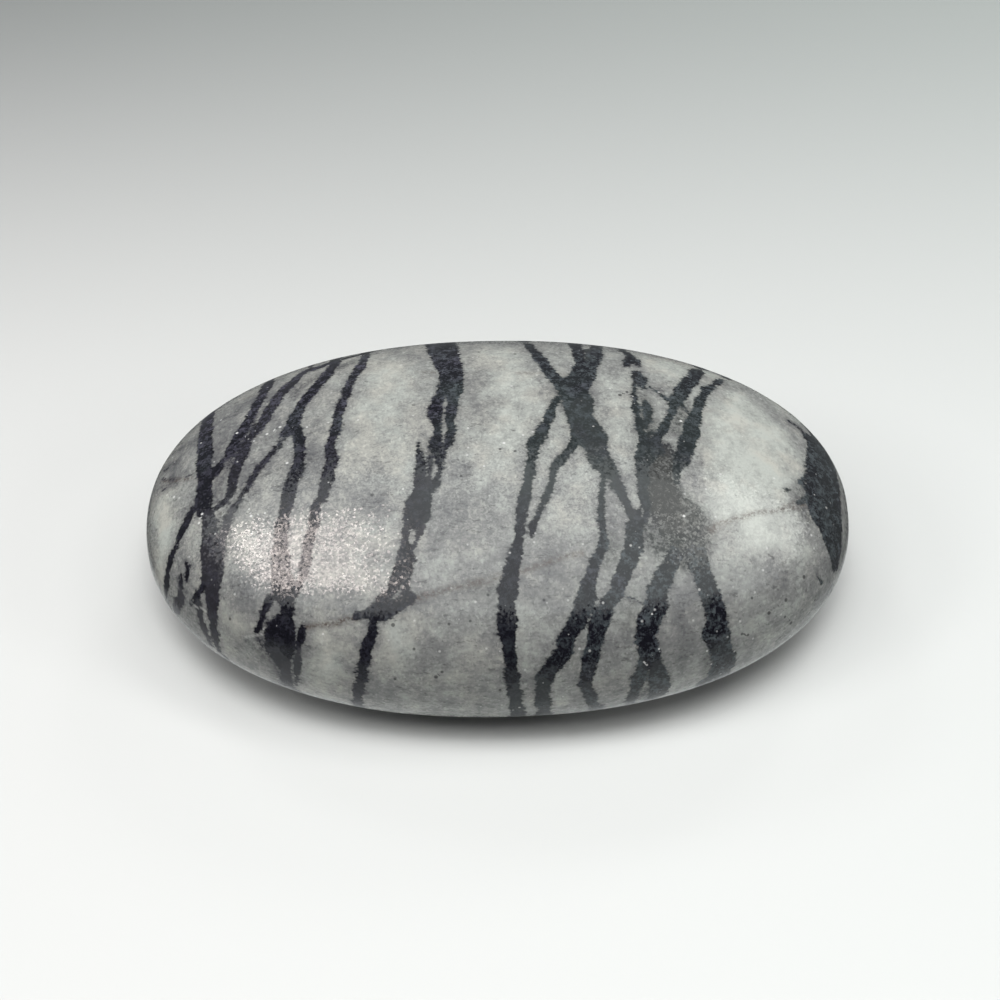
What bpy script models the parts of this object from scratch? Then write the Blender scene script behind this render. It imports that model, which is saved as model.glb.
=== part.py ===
"""A pocket stone of banded jasper: one flat oval pebble, tumbled smooth and polished.

The pebble is a single solid. It lies flat with its long axis along X and +Z up, and its
origin is in the middle of the small flat that it rests on. Lengths are in metres.
"""

import math

import bmesh
import bpy
from mathutils import Vector

# Driving dimensions.
LENGTH = 0.0600          # along X
WIDTH = 0.0404           # along Y
FULL_THICKNESS = 0.0204  # along Z, before the seat is worn flat
SEAT_DEPTH = 0.00025     # how much of the underside the seat takes away

# Shape of the pebble. An exponent of 2 gives an ellipse, and a larger one a fuller outline.
PLAN_EXPONENT = 2.19     # seen from above
SIDE_EXPONENT = 2.20     # seen from the side
END_TAPER = -0.006       # change of width towards the +X end, as a share of the width
SIDE_TAPER = 0.010       # change of length towards the +Y side, as a share of the length

# Facets along each edge of the cube that the pebble is rounded from. An even number puts
# a vertex at each end, at each side and on the crown.
FACETS_PER_EDGE = 20
CUT_TOLERANCE = 1e-7             # a vertex this near the seat's plane counts as on it
SHARP_ANGLE = math.radians(30)   # facets that meet at more than this keep a crisp edge

# Look of the polished stone, averaged over its pale ground and its dark veins.
STONE_COLOUR = (0.30, 0.30, 0.29, 1.0)
STONE_ROUGHNESS = 0.25
STONE_METALLIC = 0.0


def clear_scene():
    """Remove every object that is already in the file."""
    for existing in list(bpy.data.objects):
        bpy.data.objects.remove(existing, do_unlink=True)


def even_direction(corner):
    """Turn a point on the 2-unit cube into a direction, at equal angles along each edge."""
    spread = [math.tan(value * math.pi / 4) for value in corner]
    return Vector(spread).normalized()


def pebble_point(direction):
    """Point of the pebble's surface that lies out along a direction from its middle."""
    plan = abs(direction.x) ** PLAN_EXPONENT + abs(direction.y) ** PLAN_EXPONENT
    reach = plan ** (SIDE_EXPONENT / PLAN_EXPONENT) + abs(direction.z) ** SIDE_EXPONENT
    unit = direction / reach ** (1 / SIDE_EXPONENT)
    across = unit.y * (1 + END_TAPER * unit.x)
    along = unit.x * (1 + SIDE_TAPER * across)
    return Vector((along * LENGTH / 2, across * WIDTH / 2, unit.z * FULL_THICKNESS / 2))


def round_cube(shape):
    """Fill the mesh with a finely divided cube, rounded to the pebble's form."""
    bmesh.ops.create_cube(shape, size=2)
    bmesh.ops.subdivide_edges(
        shape, edges=shape.edges[:], cuts=FACETS_PER_EDGE - 1, use_grid_fill=True
    )
    for vertex in shape.verts:
        vertex.co = pebble_point(even_direction(vertex.co))


def wear_seat(shape):
    """Cut the underside flat, close the cut with one face and set it at Z = 0."""
    everything = shape.verts[:] + shape.edges[:] + shape.faces[:]
    seat_height = SEAT_DEPTH - FULL_THICKNESS / 2
    cut = bmesh.ops.bisect_plane(
        shape,
        geom=everything,
        dist=CUT_TOLERANCE,
        plane_co=(0, 0, seat_height),
        plane_no=(0, 0, -1),
        clear_outer=True,
    )
    rim = [item for item in cut["geom_cut"] if isinstance(item, bmesh.types.BMEdge)]
    seat = bmesh.ops.contextual_create(shape, geom=rim)["faces"]
    for vertex in seat[0].verts:
        vertex.co.z = seat_height
    bmesh.ops.translate(shape, verts=shape.verts[:], vec=(0, 0, -seat_height))
    bmesh.ops.recalc_face_normals(shape, faces=shape.faces[:])


def polished_stone():
    """Material of the whole pebble."""
    material = bpy.data.materials.new("jasper")
    material.use_nodes = True
    shader = material.node_tree.nodes["Principled BSDF"]
    shader.inputs["Base Color"].default_value = STONE_COLOUR
    shader.inputs["Roughness"].default_value = STONE_ROUGHNESS
    shader.inputs["Metallic"].default_value = STONE_METALLIC
    return material


def make_stone():
    """The pebble as one closed object."""
    shape = bmesh.new()
    round_cube(shape)
    wear_seat(shape)
    mesh = bpy.data.meshes.new("stone")
    shape.to_mesh(mesh)
    shape.free()
    mesh.shade_smooth()
    mesh.set_sharp_from_angle(angle=SHARP_ANGLE)
    mesh.materials.append(polished_stone())
    stone = bpy.data.objects.new("stone", mesh)
    bpy.context.collection.objects.link(stone)
    return stone


clear_scene()
make_stone()
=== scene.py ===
"""Looks of the jasper pocket stone: its polished surface, its veins and the studio round it."""

import math

import bmesh
import bpy
import numpy as np
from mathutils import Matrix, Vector
from mathutils.bvhtree import BVHTree


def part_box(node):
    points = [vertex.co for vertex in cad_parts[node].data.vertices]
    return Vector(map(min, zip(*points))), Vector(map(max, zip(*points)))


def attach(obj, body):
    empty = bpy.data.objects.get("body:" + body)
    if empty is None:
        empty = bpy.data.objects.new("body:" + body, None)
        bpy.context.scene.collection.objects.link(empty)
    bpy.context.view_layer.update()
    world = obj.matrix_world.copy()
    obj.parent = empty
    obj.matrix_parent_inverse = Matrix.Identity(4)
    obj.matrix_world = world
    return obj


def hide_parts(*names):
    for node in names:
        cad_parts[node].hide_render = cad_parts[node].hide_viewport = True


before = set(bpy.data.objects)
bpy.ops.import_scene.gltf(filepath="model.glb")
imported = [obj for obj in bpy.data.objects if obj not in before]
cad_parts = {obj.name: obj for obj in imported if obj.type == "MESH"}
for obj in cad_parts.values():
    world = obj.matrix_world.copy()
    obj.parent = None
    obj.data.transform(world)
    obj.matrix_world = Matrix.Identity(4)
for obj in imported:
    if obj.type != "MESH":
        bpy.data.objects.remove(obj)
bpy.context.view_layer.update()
MM = 0.001

# ---------------------------------------------------------------------------------------------
# Form of the pebble, as in the CAD source. A least-squares fit to the outline in the photo gave the
# exponents and tapers, together with the camera's place.
PLAN_EXPONENT = 2.19
SIDE_EXPONENT = 2.20
END_TAPER = -0.006
SIDE_TAPER = 0.010
SEAT_DEPTH = 0.25 * MM
QUADS_ALONG = (200, 120, 76)     # along X, Y and Z
NEAR_SIDE = (0.0, -0.20, 0.26)   # the quads spread from here, so they are finer on this side

# The polished surface is a little worn: waves with a direction, a count of radians across half the
# stone and a start, in all as deep as this share of the stone's half size.
WEAR_DEPTH = 0.0022
WEAR_WAVES = (
    ((0.9, 0.3, 0.2), 17.0, 0.4),
    ((-0.4, 0.9, 0.3), 13.0, 2.1),
    ((0.2, -0.5, 0.9), 11.0, 4.0),
    ((0.7, 0.7, -0.4), 23.0, 1.2),
    ((-0.8, 0.5, 0.6), 29.0, 5.3),
)
HALVINGS = 30                    # steps that find a point on the surface
FARTHEST = 1.5                   # where they start, as a share of the stone's half size

stone_low, stone_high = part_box("stone")
LENGTH = stone_high.x - stone_low.x
WIDTH = stone_high.y - stone_low.y
FULL_THICKNESS = stone_high.z - stone_low.z + SEAT_DEPTH
HALF_SIZE = np.array([LENGTH, WIDTH, FULL_THICKNESS]) / 2
MIDDLE_HEIGHT = FULL_THICKNESS / 2 - SEAT_DEPTH

# ---------------------------------------------------------------------------------------------
# Camera. The photo is 1000 pixels wide and high.
FRAME_PIXELS = 1000
SENSOR_MM = 36.0
HALF_LENGTHS_AWAY = 8            # how far off the camera stands
PIXELS_PER_HALF_LENGTH = 350.6
DISTANCE = HALF_LENGTHS_AWAY * LENGTH / 2
FOCAL_PIXELS = PIXELS_PER_HALF_LENGTH * HALF_LENGTHS_AWAY
CAMERA_ELEVATION = math.radians(43)
CAMERA_TURN = math.radians(1.37)
STONE_CENTRE_PIXEL = (498.0, 521.5)
CLIP_NEAR = 0.01
CLIP_FAR = 20

# ---------------------------------------------------------------------------------------------
# Veins on the side that the photo shows. Each has its ink, from 0 for the ground's own colour to
# 1 for black, and the rows (x, y, width) along its middle, in pixels of the photo, read one by one. In
# most tables of strokes, a program then left out rows that the smooth paths can do without.
SEEN_VEINS = {
    "left_trunk": (1.0, (
        (211, 413, 10), (207, 420, 14), (206, 430, 16), (204, 470, 18), (205, 480, 18),
        (203, 500, 20), (204, 510, 19),
    )),
    "left_trunk_low": (0.84, (
        (203, 508, 17), (208, 520, 16), (211, 562, 25), (213, 572, 26), (212, 582, 23),
        (213, 600, 16), (212, 610, 12), (214, 630, 10), (220, 660, 6),
    )),
    "left_prong": (1.0, ((205, 586, 9), (191, 604, 4))),
    "left_skirt": (0.68, ((198, 606, 10), (203, 626, 10), (211, 645, 6))),
    "left_outer": (1.0, (
        (198, 504, 9), (186, 522, 9), (172, 556, 8), (167, 576, 9), (166, 595, 6), (168, 604, 4),
    )),
    "left_chip_high": (1.0, ((186, 563, 2), (188, 569, 4), (186, 582, 3))),
    "left_chip_low": (0.95, ((181, 577, 4), (181, 584, 6), (183, 590, 4))),
    "left_chip_foot": (0.7, ((181, 590, 6), (182, 597, 8), (178, 604, 13), (175, 611, 9))),
    "left_a": (1.0, (
        (270, 382, 11), (265, 389, 13), (261, 398, 11), (240, 435, 13), (225, 459, 11),
        (215, 472, 12), (209, 480, 10),
    )),
    "left_b": (0.92, (
        (312, 368, 6), (302, 374, 9), (286, 388, 14), (281, 394, 12), (270, 409, 13), (255, 433, 11),
        (248, 440, 11), (235, 474, 12), (228, 497, 9), (217, 508, 7),
    )),
    "left_rim": (1.0, ((374, 351, 6), (336, 361, 11), (314, 370, 7))),
    "left_c": (1.0, ((336, 361, 10), (331, 369, 12), (300, 407, 13), (292, 431, 15))),
    "left_c_west": (0.95, ((288, 428, 10), (283, 436, 9), (280, 443, 7), (259, 469, 8), (234, 509, 7))),
    "left_c_west_low": (0.7, ((234, 506, 7), (222, 538, 9), (221, 552, 9))),
    "left_c_east": (1.0, (
        (296, 430, 12), (300, 446, 12), (299, 464, 13), (290, 488, 13), (289, 497, 14),
        (282, 525, 13), (281, 570, 21), (284, 588, 26), (287, 604, 16), (286, 622, 15),
    )),
    "left_c_strand": (1.0, ((273, 592, 4), (270, 599, 8), (261, 619, 6), (257, 632, 4))),
    "left_d": (0.97, (
        (366, 354, 9), (360, 369, 10), (354, 375, 9), (341, 405, 8), (336, 429, 9), (331, 445, 9),
        (331, 461, 12), (323, 494, 11), (316, 510, 9), (308, 552, 11), (299, 586, 9), (294, 594, 10),
    )),
    "left_knot": (1.0, ((285, 618, 16), (281, 630, 32), (281, 644, 33), (281, 650, 26))),
    "left_knot_east": (1.0, ((302, 625, 4), (302, 631, 8), (297, 648, 8))),
    "left_knot_low": (0.76, ((279, 648, 26), (280, 657, 22), (281, 665, 14))),
    "left_knot_foot": (0.66, ((284, 662, 14), (290, 696, 11))),
    "left_knot_foot_east": (0.66, ((298, 648, 7), (296, 684, 6))),
    "great_head": (1.0, ((442, 340, 28), (443, 350, 29), (451, 373, 24), (451, 389, 25))),
    "great_east": (0.98, (
        (453, 386, 22), (452, 394, 15), (453, 402, 13), (450, 418, 8), (451, 426, 10), (449, 441, 9),
        (445, 448, 7),
    )),
    "great_west": (1.0, (
        (446, 386, 16), (441, 395, 11), (435, 409, 14), (437, 423, 9), (438, 430, 9), (436, 446, 13),
        (439, 454, 13), (440, 470, 6), (434, 485, 7), (428, 491, 7),
    )),
    "great_side": (0.97, (
        (418, 443, 2), (418, 450, 4), (420, 458, 8), (421, 485, 14), (419, 503, 27), (417, 512, 28),
        (415, 519, 24),
    )),
    "great_thread": (0.9, ((430, 456, 4), (430, 474, 4), (425, 491, 8))),
    "great_low_west": (0.92, ((411, 514, 12), (407, 524, 8), (404, 554, 11))),
    "great_low_east": (0.88, ((424, 515, 13), (419, 534, 5), (411, 553, 7))),
    "great_low": (0.97, (
        (407, 550, 16), (406, 560, 17), (402, 570, 17), (390, 592, 9), (385, 598, 13), (380, 613, 18),
    )),
    "great_prong": (0.85, (
        (406, 574, 8), (405, 584, 6), (406, 592, 8), (403, 600, 12), (395, 607, 15),
    )),
    "great_knot": (0.9, ((358, 615, 9), (368, 614, 11), (380, 611, 18), (393, 607, 19), (412, 599, 8))),
    "great_foot": (1.0, ((374, 618, 9), (373, 633, 11), (366, 649, 12), (361, 681, 12))),
    "great_foot_low": (0.85, ((361, 680, 12), (356, 709, 9))),
    "middle_slant": (0.97, ((524, 340, 10), (541, 360, 11), (545, 367, 12), (562, 387, 14))),
    "trunk_arm_west": (1.0, ((574, 343, 14), (578, 351, 12), (583, 369, 13))),
    "trunk_arm_east": (1.0, ((596, 346, 13), (595, 354, 13), (588, 371, 16))),
    "trunk_arm_web": (0.75, ((588, 350, 8), (588, 360, 8))),
    "middle_trunk": (0.98, (
        (585, 368, 23), (582, 377, 26), (576, 385, 32), (575, 393, 32), (577, 399, 30),
    )),
    "middle_trunk_low": (0.80, (
        (577, 398, 30), (580, 409, 30), (580, 418, 29), (589, 434, 34), (593, 441, 29),
    )),
    "trunk_foot": (0.74, (
        (592, 440, 28), (596, 448, 23), (598, 456, 24), (603, 463, 24), (610, 470, 17),
        (617, 486, 11), (634, 518, 9),
    )),
    "middle_west": (1.0, (
        (559, 398, 8), (554, 406, 8), (539, 438, 12), (534, 445, 11), (529, 478, 10), (523, 502, 12),
        (519, 530, 10), (519, 540, 10), (512, 570, 16), (511, 580, 18), (508, 590, 20),
        (506, 598, 16), (505, 607, 15),
    )),
    "middle_west_low": (1.0, (
        (505, 604, 15), (506, 621, 20), (508, 645, 14), (512, 669, 14), (513, 686, 14),
    )),
    "middle_west_foot": (0.78, ((513, 684, 15), (515, 693, 12), (518, 715, 15))),
    "middle_inner": (1.0, (
        (575, 440, 8), (567, 454, 9), (555, 466, 8), (553, 473, 6), (550, 489, 7), (533, 528, 7),
        (531, 536, 5),
    )),
    "middle_string": (0.92, (
        (602, 466, 4), (603, 486, 5), (601, 496, 6), (602, 525, 8), (604, 543, 9), (601, 551, 12),
        (594, 568, 10), (587, 595, 17), (585, 604, 17),
    )),
    "middle_string_low": (1.0, (
        (582, 608, 16), (577, 624, 18), (567, 638, 15), (563, 646, 17), (562, 654, 17),
        (545, 677, 17),
    )),
    "middle_string_foot": (0.8, ((544, 678, 16), (542, 688, 15), (544, 714, 15))),
    "right_string": (0.85, (
        (642, 506, 6), (639, 514, 8), (636, 521, 14), (634, 530, 17), (634, 540, 20), (629, 560, 18),
        (620, 580, 16), (617, 590, 14), (608, 607, 14),
    )),
    "right_string_low": (1.0, (
        (608, 606, 14), (600, 620, 18), (597, 627, 17), (595, 643, 16), (590, 659, 18),
        (585, 682, 12),
    )),
    "right_string_foot": (0.8, ((585, 681, 12), (591, 698, 10), (597, 708, 12))),
    "right_head": (1.0, ((620, 350, 6), (627, 353, 9), (631, 357, 12), (631, 361, 12))),
    "right_hook": (1.0, ((627, 360, 6), (627, 366, 5))),
    "right_hook_east": (0.95, ((637, 360, 7), (638, 366, 4))),
    "right_blob": (0.92, ((637, 373, 8), (639, 378, 15), (640, 384, 13), (643, 388, 6))),
    "right_trunk": (0.95, (
        (635, 384, 7), (634, 392, 6), (639, 424, 9), (641, 432, 7), (644, 440, 10), (646, 449, 18),
        (646, 458, 20),
    )),
    "right_mass_trunk": (0.88, (
        (644, 462, 13), (642, 475, 11), (644, 500, 9), (646, 512, 7), (638, 534, 10),
    )),
    "right_trunk_east": (0.9, ((645, 402, 6), (648, 410, 10), (645, 426, 9))),
    "right_trunk_web": (0.9, (
        (648, 436, 4), (653, 431, 5), (657, 437, 6), (656, 444, 10), (658, 451, 13),
    )),
    "right_thread": (0.95, ((650, 387, 3), (656, 391, 2), (668, 400, 5))),
    "right_back_a": (1.0, (
        (699, 366, 15), (692, 380, 15), (685, 386, 16), (676, 400, 13), (670, 414, 7), (668, 421, 8),
        (655, 440, 8),
    )),
    "right_back_spur": (0.95, ((679, 401, 6), (688, 412, 4), (692, 417, 6))),
    "right_back_b": (1.0, (
        (726, 376, 9), (712, 386, 8), (706, 389, 10), (697, 409, 9), (692, 424, 17), (692, 432, 18),
        (688, 440, 17), (684, 455, 18), (676, 474, 7), (677, 482, 4),
    )),
    "front_right": (0.86, ((697, 553, 18), (699, 563, 20), (712, 601, 23))),
    "front_right_low": (1.0, ((712, 598, 23), (717, 616, 22), (717, 625, 24), (719, 639, 28))),
    "front_right_heel": (1.0, ((705, 630, 6), (706, 641, 5))),
    "front_right_foot": (0.84, (
        (721, 638, 24), (721, 648, 24), (723, 657, 27), (723, 666, 29), (714, 684, 26),
    )),
    "front_middle": (0.84, ((674, 554, 14), (671, 563, 16), (657, 590, 20), (656, 599, 21))),
    "front_middle_low": (1.0, (
        (656, 597, 20), (655, 605, 24), (649, 621, 23), (648, 630, 23), (646, 638, 22),
        (651, 654, 21), (649, 662, 22),
    )),
    "front_middle_spur": (0.85, ((630, 597, 3), (637, 600, 3), (644, 606, 5))),
    "front_middle_west": (0.8, ((645, 662, 16), (631, 701, 12))),
    "front_middle_east": (0.82, ((654, 662, 14), (659, 680, 20), (659, 690, 21), (656, 700, 18))),
    "far_right_thread": (0.95, ((789, 421, 4), (801, 430, 6), (806, 438, 8))),
    "far_right_inner": (0.92, (
        (808, 436, 10), (814, 446, 16), (815, 466, 22), (816, 506, 23), (824, 526, 17), (837, 565, 9),
    )),
    "far_right_outer": (0.86, (
        (813, 434, 12), (821, 446, 24), (826, 466, 39), (828, 506, 45), (835, 546, 30), (835, 566, 9),
    )),
    "far_right_chip_high": (0.62, ((784, 491, 1), (791, 489, 2))),
    "far_right_chip": (0.85, ((799, 483, 3), (809, 477, 6))),
    "far_right_chip_low": (0.75, ((798, 503, 4), (809, 497, 8))),
    "far_right_foot": (0.8, ((817, 576, 2), (822, 582, 2))),
    "left_wisp_rim": (0.7, ((172, 448, 1), (180, 444, 2), (195, 441, 1))),
    "left_wisp_high": (0.65, ((163, 471, 2), (168, 469, 2))),
    "left_wisp_end": (0.65, ((163, 479, 1), (172, 480, 1), (192, 475, 1))),
    "left_wisp_low": (0.6, ((163, 490, 2), (166, 489, 2))),
    "left_wisp_top": (0.7, ((223, 419, 1), (234, 415, 1))),
}

# Smoky grey-violet parts on the same side, each with its strength and rows as above.
SEEN_SMOKE = {
    "left_web": (0.88, ((258, 412, 6), (240, 444, 20), (229, 466, 18))),
    "left_high_haze": (0.6, ((228, 438, 10), (219, 450, 14), (213, 462, 10))),
    "left_island": (0.60, ((220, 476, 16), (217, 500, 14))),
    "left_west_haze": (0.5, ((252, 478, 16), (243, 502, 20))),
    "left_veil": (1.0, ((234, 506, 14), (220, 529, 26), (218, 558, 16))),
    "left_slope": (0.55, ((245, 640, 14), (268, 654, 26), (276, 662, 18))),
    "left_knot_lee": (0.8, ((274, 646, 14), (280, 658, 24), (288, 688, 22))),
    "left_knot_west": (1.2, ((258, 638, 7), (264, 644, 14), (270, 652, 14))),
    "left_end_smudge": (0.8, ((162, 488, 5), (176, 483, 4))),
    "left_end_smudge_high": (0.8, ((162, 470, 6), (176, 462, 5))),
    "left_rim_smudge": (0.7, ((172, 454, 5), (189, 444, 5))),
    "left_rim_grey": (0.75, ((352, 362, 12), (304, 384, 12), (294, 396, 9))),
    "great_gap": (0.35, ((444, 398, 8), (441, 438, 8))),
    "great_side_grey": (0.55, ((424, 452, 12), (427, 466, 20), (427, 490, 16))),
    "great_low_grey": (0.42, ((417, 518, 20), (408, 556, 18))),
    "great_shoulder_grey": (0.6, ((432, 440, 10), (430, 455, 16), (431, 470, 14))),
    "great_prong_grey": (0.50, ((402, 574, 18), (394, 604, 26))),
    "great_knot_east": (0.60, ((402, 606, 14), (420, 602, 8))),
    "middle_west_grey": (0.55, ((470, 588, 8), (498, 590, 18))),
    "middle_string_grey": (0.6, ((604, 536, 12), (609, 549, 26), (606, 562, 16))),
    "middle_gap_grey": (0.32, ((585, 630, 14), (570, 664, 16))),
    "front_gap_grey": (0.32, ((622, 594, 16), (632, 606, 34), (628, 620, 30))),
    "right_back_grey": (0.75, ((686, 402, 10), (681, 416, 16), (676, 430, 14))),
    "trunk_web": (0.70, ((572, 380, 24), (570, 390, 34), (572, 400, 30), (592, 442, 30))),
    "right_web": (0.62, ((642, 395, 14), (652, 446, 30))),
    "right_mass_high": (1.7, ((663, 447, 14), (664, 455, 26), (660, 484, 37), (666, 501, 44))),
    "right_mass": (1.2, (
        (674, 500, 34), (672, 510, 48), (677, 519, 58), (684, 528, 60), (690, 556, 32),
    )),
    "right_mass_west": (0.80, ((650, 511, 12), (649, 531, 26), (664, 552, 24))),
    "right_wisp": (0.32, ((731, 401, 5), (768, 426, 5))),
    "far_right_edge": (0.6, ((802, 482, 8), (801, 503, 13), (809, 520, 10))),
    "far_right_rim": (0.55, ((843, 478, 6), (847, 520, 8), (841, 566, 8))),
    "front_fork": (0.7, ((650, 670, 24), (645, 694, 26))),
    "front_right_gap": (0.6, ((712, 646, 14), (714, 672, 24))),
}

# Pale parts of the ground, above 0, and grey ones, below 0, with their rows as above, placed
# where the photo was paler or darker than the render.
# Among them, the pale left end is painted light and the pale band on the top right rim a painted
# reflection.
SEEN_CLOUDS_AND_PAINTED_LIGHT = {
    "pale_right": (0.55, (
        (738, 400, 30), (745, 430, 60), (748, 465, 76), (742, 500, 60), (762, 528, 40),
    )),
    "pale_right_low": (0.20, ((722, 540, 20), (732, 555, 30), (750, 545, 40))),
    "pale_right_foot": (0.26, ((750, 590, 14), (768, 614, 12))),
    "pale_right_slope": (0.26, ((770, 470, 20), (792, 528, 22), (800, 556, 16))),
    "pale_left_high": (0.30, ((398, 374, 20), (408, 386, 26), (404, 400, 20))),
    "pale_left_field": (0.38, ((388, 368, 30), (380, 405, 40), (384, 440, 40), (396, 470, 24))),
    "pale_field_low": (0.34, ((355, 446, 14), (362, 472, 12))),
    "pale_middle": (0.32, ((498, 352, 26), (500, 395, 20), (500, 440, 36), (492, 475, 40))),
    "pale_middle_east": (0.35, ((522, 380, 24), (530, 402, 26), (520, 425, 30), (508, 445, 20))),
    "pale_inner": (0.36, ((612, 385, 14), (622, 445, 18))),
    "pale_tear": (0.25, ((582, 470, 22), (574, 498, 36), (570, 525, 40))),
    "pale_wedge": (0.28, ((562, 420, 12), (556, 440, 16), (546, 462, 10))),
    # Painted light: the left end made paler where light falls on it.
    "painted_light_left_end": (0.88, ((160, 505, 14), (163, 535, 20), (160, 578, 14))),
    "pale_left_foot": (0.14, ((235, 620, 12), (238, 636, 14))),
    "pale_left_gap": (0.22, ((190, 534, 8), (184, 560, 10))),
    "pale_low_west": (0.66, ((316, 630, 24), (328, 652, 30), (326, 675, 24))),
    "pale_low_middle": (0.48, ((396, 640, 26), (392, 668, 24))),
    "pale_low_east": (0.20, ((462, 636, 26), (470, 664, 30), (462, 690, 20))),
    "pale_rim": (0.32, ((476, 354, 12), (502, 362, 20), (514, 366, 16))),
    "pale_back": (0.75, ((655, 366, 18), (674, 374, 12))),
    "grey_rim": (-0.60, ((262, 396, 8), (238, 408, 16), (186, 452, 16), (170, 478, 18))),
    "pale_knot": (0.40, ((462, 412, 14), (466, 422, 20), (468, 432, 12))),
    "pale_right_end": (0.18, ((796, 550, 14), (806, 568, 12))),
    "pale_right_east": (0.50, ((772, 430, 14), (790, 452, 20), (792, 472, 16))),
    # Painted reflection: a paler band on the top right rim, standing in for the lit floor in the polish.
    "painted_reflection_rim_right": (0.60, ((646, 357, 10), (745, 386, 10), (795, 418, 10))),
    "pale_rim_left": (0.25, ((392, 350, 8), (425, 346, 8))),
    "grey_low_band": (-0.16, ((474, 606, 14), (474, 622, 20), (480, 640, 14))),
    "grey_beside_knot": (-0.30, ((250, 582, 12), (248, 596, 14))),
    "grey_right_fork": (-0.14, ((768, 562, 16), (772, 576, 16))),
    "pale_low_band": (0.15, ((452, 590, 12), (456, 650, 18), (452, 680, 16))),
    "pale_band": (0.36, ((446, 560, 14), (484, 542, 20))),
    "grey_fork_low": (-0.16, ((692, 566, 8), (688, 592, 10))),
    "grey_middle_east": (-0.20, ((527, 546, 8), (524, 580, 10))),
    "grey_field": (-0.12, ((386, 440, 14), (384, 470, 12))),
    "grey_inner": (-0.14, ((612, 372, 10), (612, 388, 12))),
    "grey_left_high": (-0.40, ((226, 432, 16), (214, 462, 8))),
    "grey_left_gap": (-0.25, ((278, 420, 10), (243, 480, 12))),
    "grey_left_low": (-0.28, ((230, 584, 20), (238, 598, 22))),
    "grey_middle_spot": (-0.32, ((460, 372, 14), (470, 386, 22), (482, 418, 14))),
    "grey_band": (-0.18, ((436, 500, 16), (466, 540, 40), (448, 556, 20))),
    "grey_band_east": (-0.12, ((484, 508, 20), (500, 524, 20), (490, 548, 20))),
    "grey_left_east": (-0.30, ((312, 412, 12), (312, 470, 14))),
    "grey_left_low_east": (-0.30, ((372, 470, 16), (380, 490, 20), (374, 508, 12))),
    "grey_middle_low": (-0.25, ((462, 466, 16), (470, 480, 20), (466, 494, 14))),
    "grey_fork": (-0.18, ((566, 545, 16), (548, 580, 16))),
    "grey_knot_east": (-0.60, ((311, 629, 10), (312, 648, 12))),
    "grey_left_foot": (-0.22, ((322, 590, 16), (328, 604, 20), (340, 610, 14))),
    "grey_front": (-0.42, ((684, 612, 16), (682, 635, 24), (684, 655, 20))),
    "grey_front_west": (-0.25, ((620, 640, 14), (620, 660, 14))),
    "grey_knot_lee": (-0.25, ((420, 588, 14), (436, 600, 10))),
    "grey_patch_low": (-0.16, ((424, 654, 22), (446, 662, 20))),
    "grey_right_end": (-0.08, ((814, 574, 14), (790, 612, 20))),
    "grey_right_low": (-0.12, ((690, 620, 20), (690, 650, 26))),
}

# Where the smoke is brown rather than grey, with rows as above.
SEEN_BROWN = {
    "mass_brown": (1.0, (
        (662, 452, 16), (662, 466, 26), (660, 482, 28), (666, 500, 40), (674, 516, 44),
    )),
    "middle_brown": (0.7, ((566, 430, 12), (578, 442, 16), (590, 452, 12))),
    "left_brown": (0.8, ((234, 502, 20), (226, 520, 24), (222, 550, 20))),
    "great_brown": (0.6, ((412, 520, 26), (408, 545, 20), (400, 580, 26))),
}

# Brown stained hairlines on the same side, each with its strength and rows as above.
SEEN_STAINS = {
    "stain_left": (0.8, ((304, 628, 4), (318, 625, 4), (333, 624, 5), (346, 620, 6), (358, 618, 4))),
    "stain_middle": (0.6, ((408, 601, 8), (456, 587, 6), (500, 577, 8))),
    "stain_inner": (0.5, ((522, 572, 7), (560, 558, 6), (582, 553, 6))),
    "stain_right": (0.6, (
        (712, 530, 8), (724, 522, 7), (740, 518, 6), (756, 513, 6), (772, 511, 5), (788, 508, 7),
        (802, 503, 9),
    )),
    "streak_west": (0.5, ((418, 372, 3), (427, 372, 5), (436, 373, 4))),
    "streak_middle": (0.45, ((518, 373, 3), (540, 373, 3))),
    "streak_rim": (0.6, ((240, 401, 2), (248, 397, 3), (256, 395, 2))),
    "streak_end": (0.9, ((162, 481, 2), (170, 481, 3), (191, 478, 3))),
}

# Small dark specks, and white sparks that are painted glints, on the same side: x, y and width in
# pixels of the photo.
SEEN_SPECKS = (
    (479, 352, 3), (515, 354, 3), (500, 449, 3), (515, 451, 3), (461, 476, 3), (620, 395, 4),
    (627, 392, 3), (488, 595, 3), (414, 649, 3), (436, 677, 4), (395, 679, 3), (470, 621, 3),
    (449, 624, 3), (442, 672, 3), (393, 625, 4), (500, 690, 3), (773, 558, 4), (769, 555, 3),
    (804, 577, 4), (786, 600, 4), (815, 600, 3), (791, 623, 4), (785, 617, 3), (769, 613, 4),
    (752, 598, 3), (230, 619, 3), (372, 495, 4), (544, 600, 3), (742, 634, 3), (748, 635, 3),
)
SEEN_PAINTED_GLINTS = (
    (280, 427, 3), (267, 434, 3), (237, 433, 3), (221, 420, 2), (254, 441, 2), (201, 443, 2),
    (174, 497, 3), (167, 495, 2), (249, 509, 2), (251, 516, 3), (265, 513, 2), (202, 514, 3),
    (199, 523, 3), (307, 427, 2), (287, 463, 3), (358, 420, 2), (403, 489, 2), (484, 466, 2),
    (468, 428, 2), (523, 435, 2), (504, 443, 3), (681, 421, 3), (652, 614, 2), (644, 662, 2),
    (647, 665, 2), (659, 649, 2), (707, 651, 2), (323, 634, 2), (684, 516, 3),
)

# Two pale nicks on the same side, each with its strength and rows as for the veins.
SEEN_NICKS = {
    "nick_end": (1.0, ((194, 606, 2), (200, 608, 2), (206, 611, 2))),
    "nick_knot": (1.0, ((243, 637, 2), (253, 636, 2), (264, 634, 2))),
}


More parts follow.
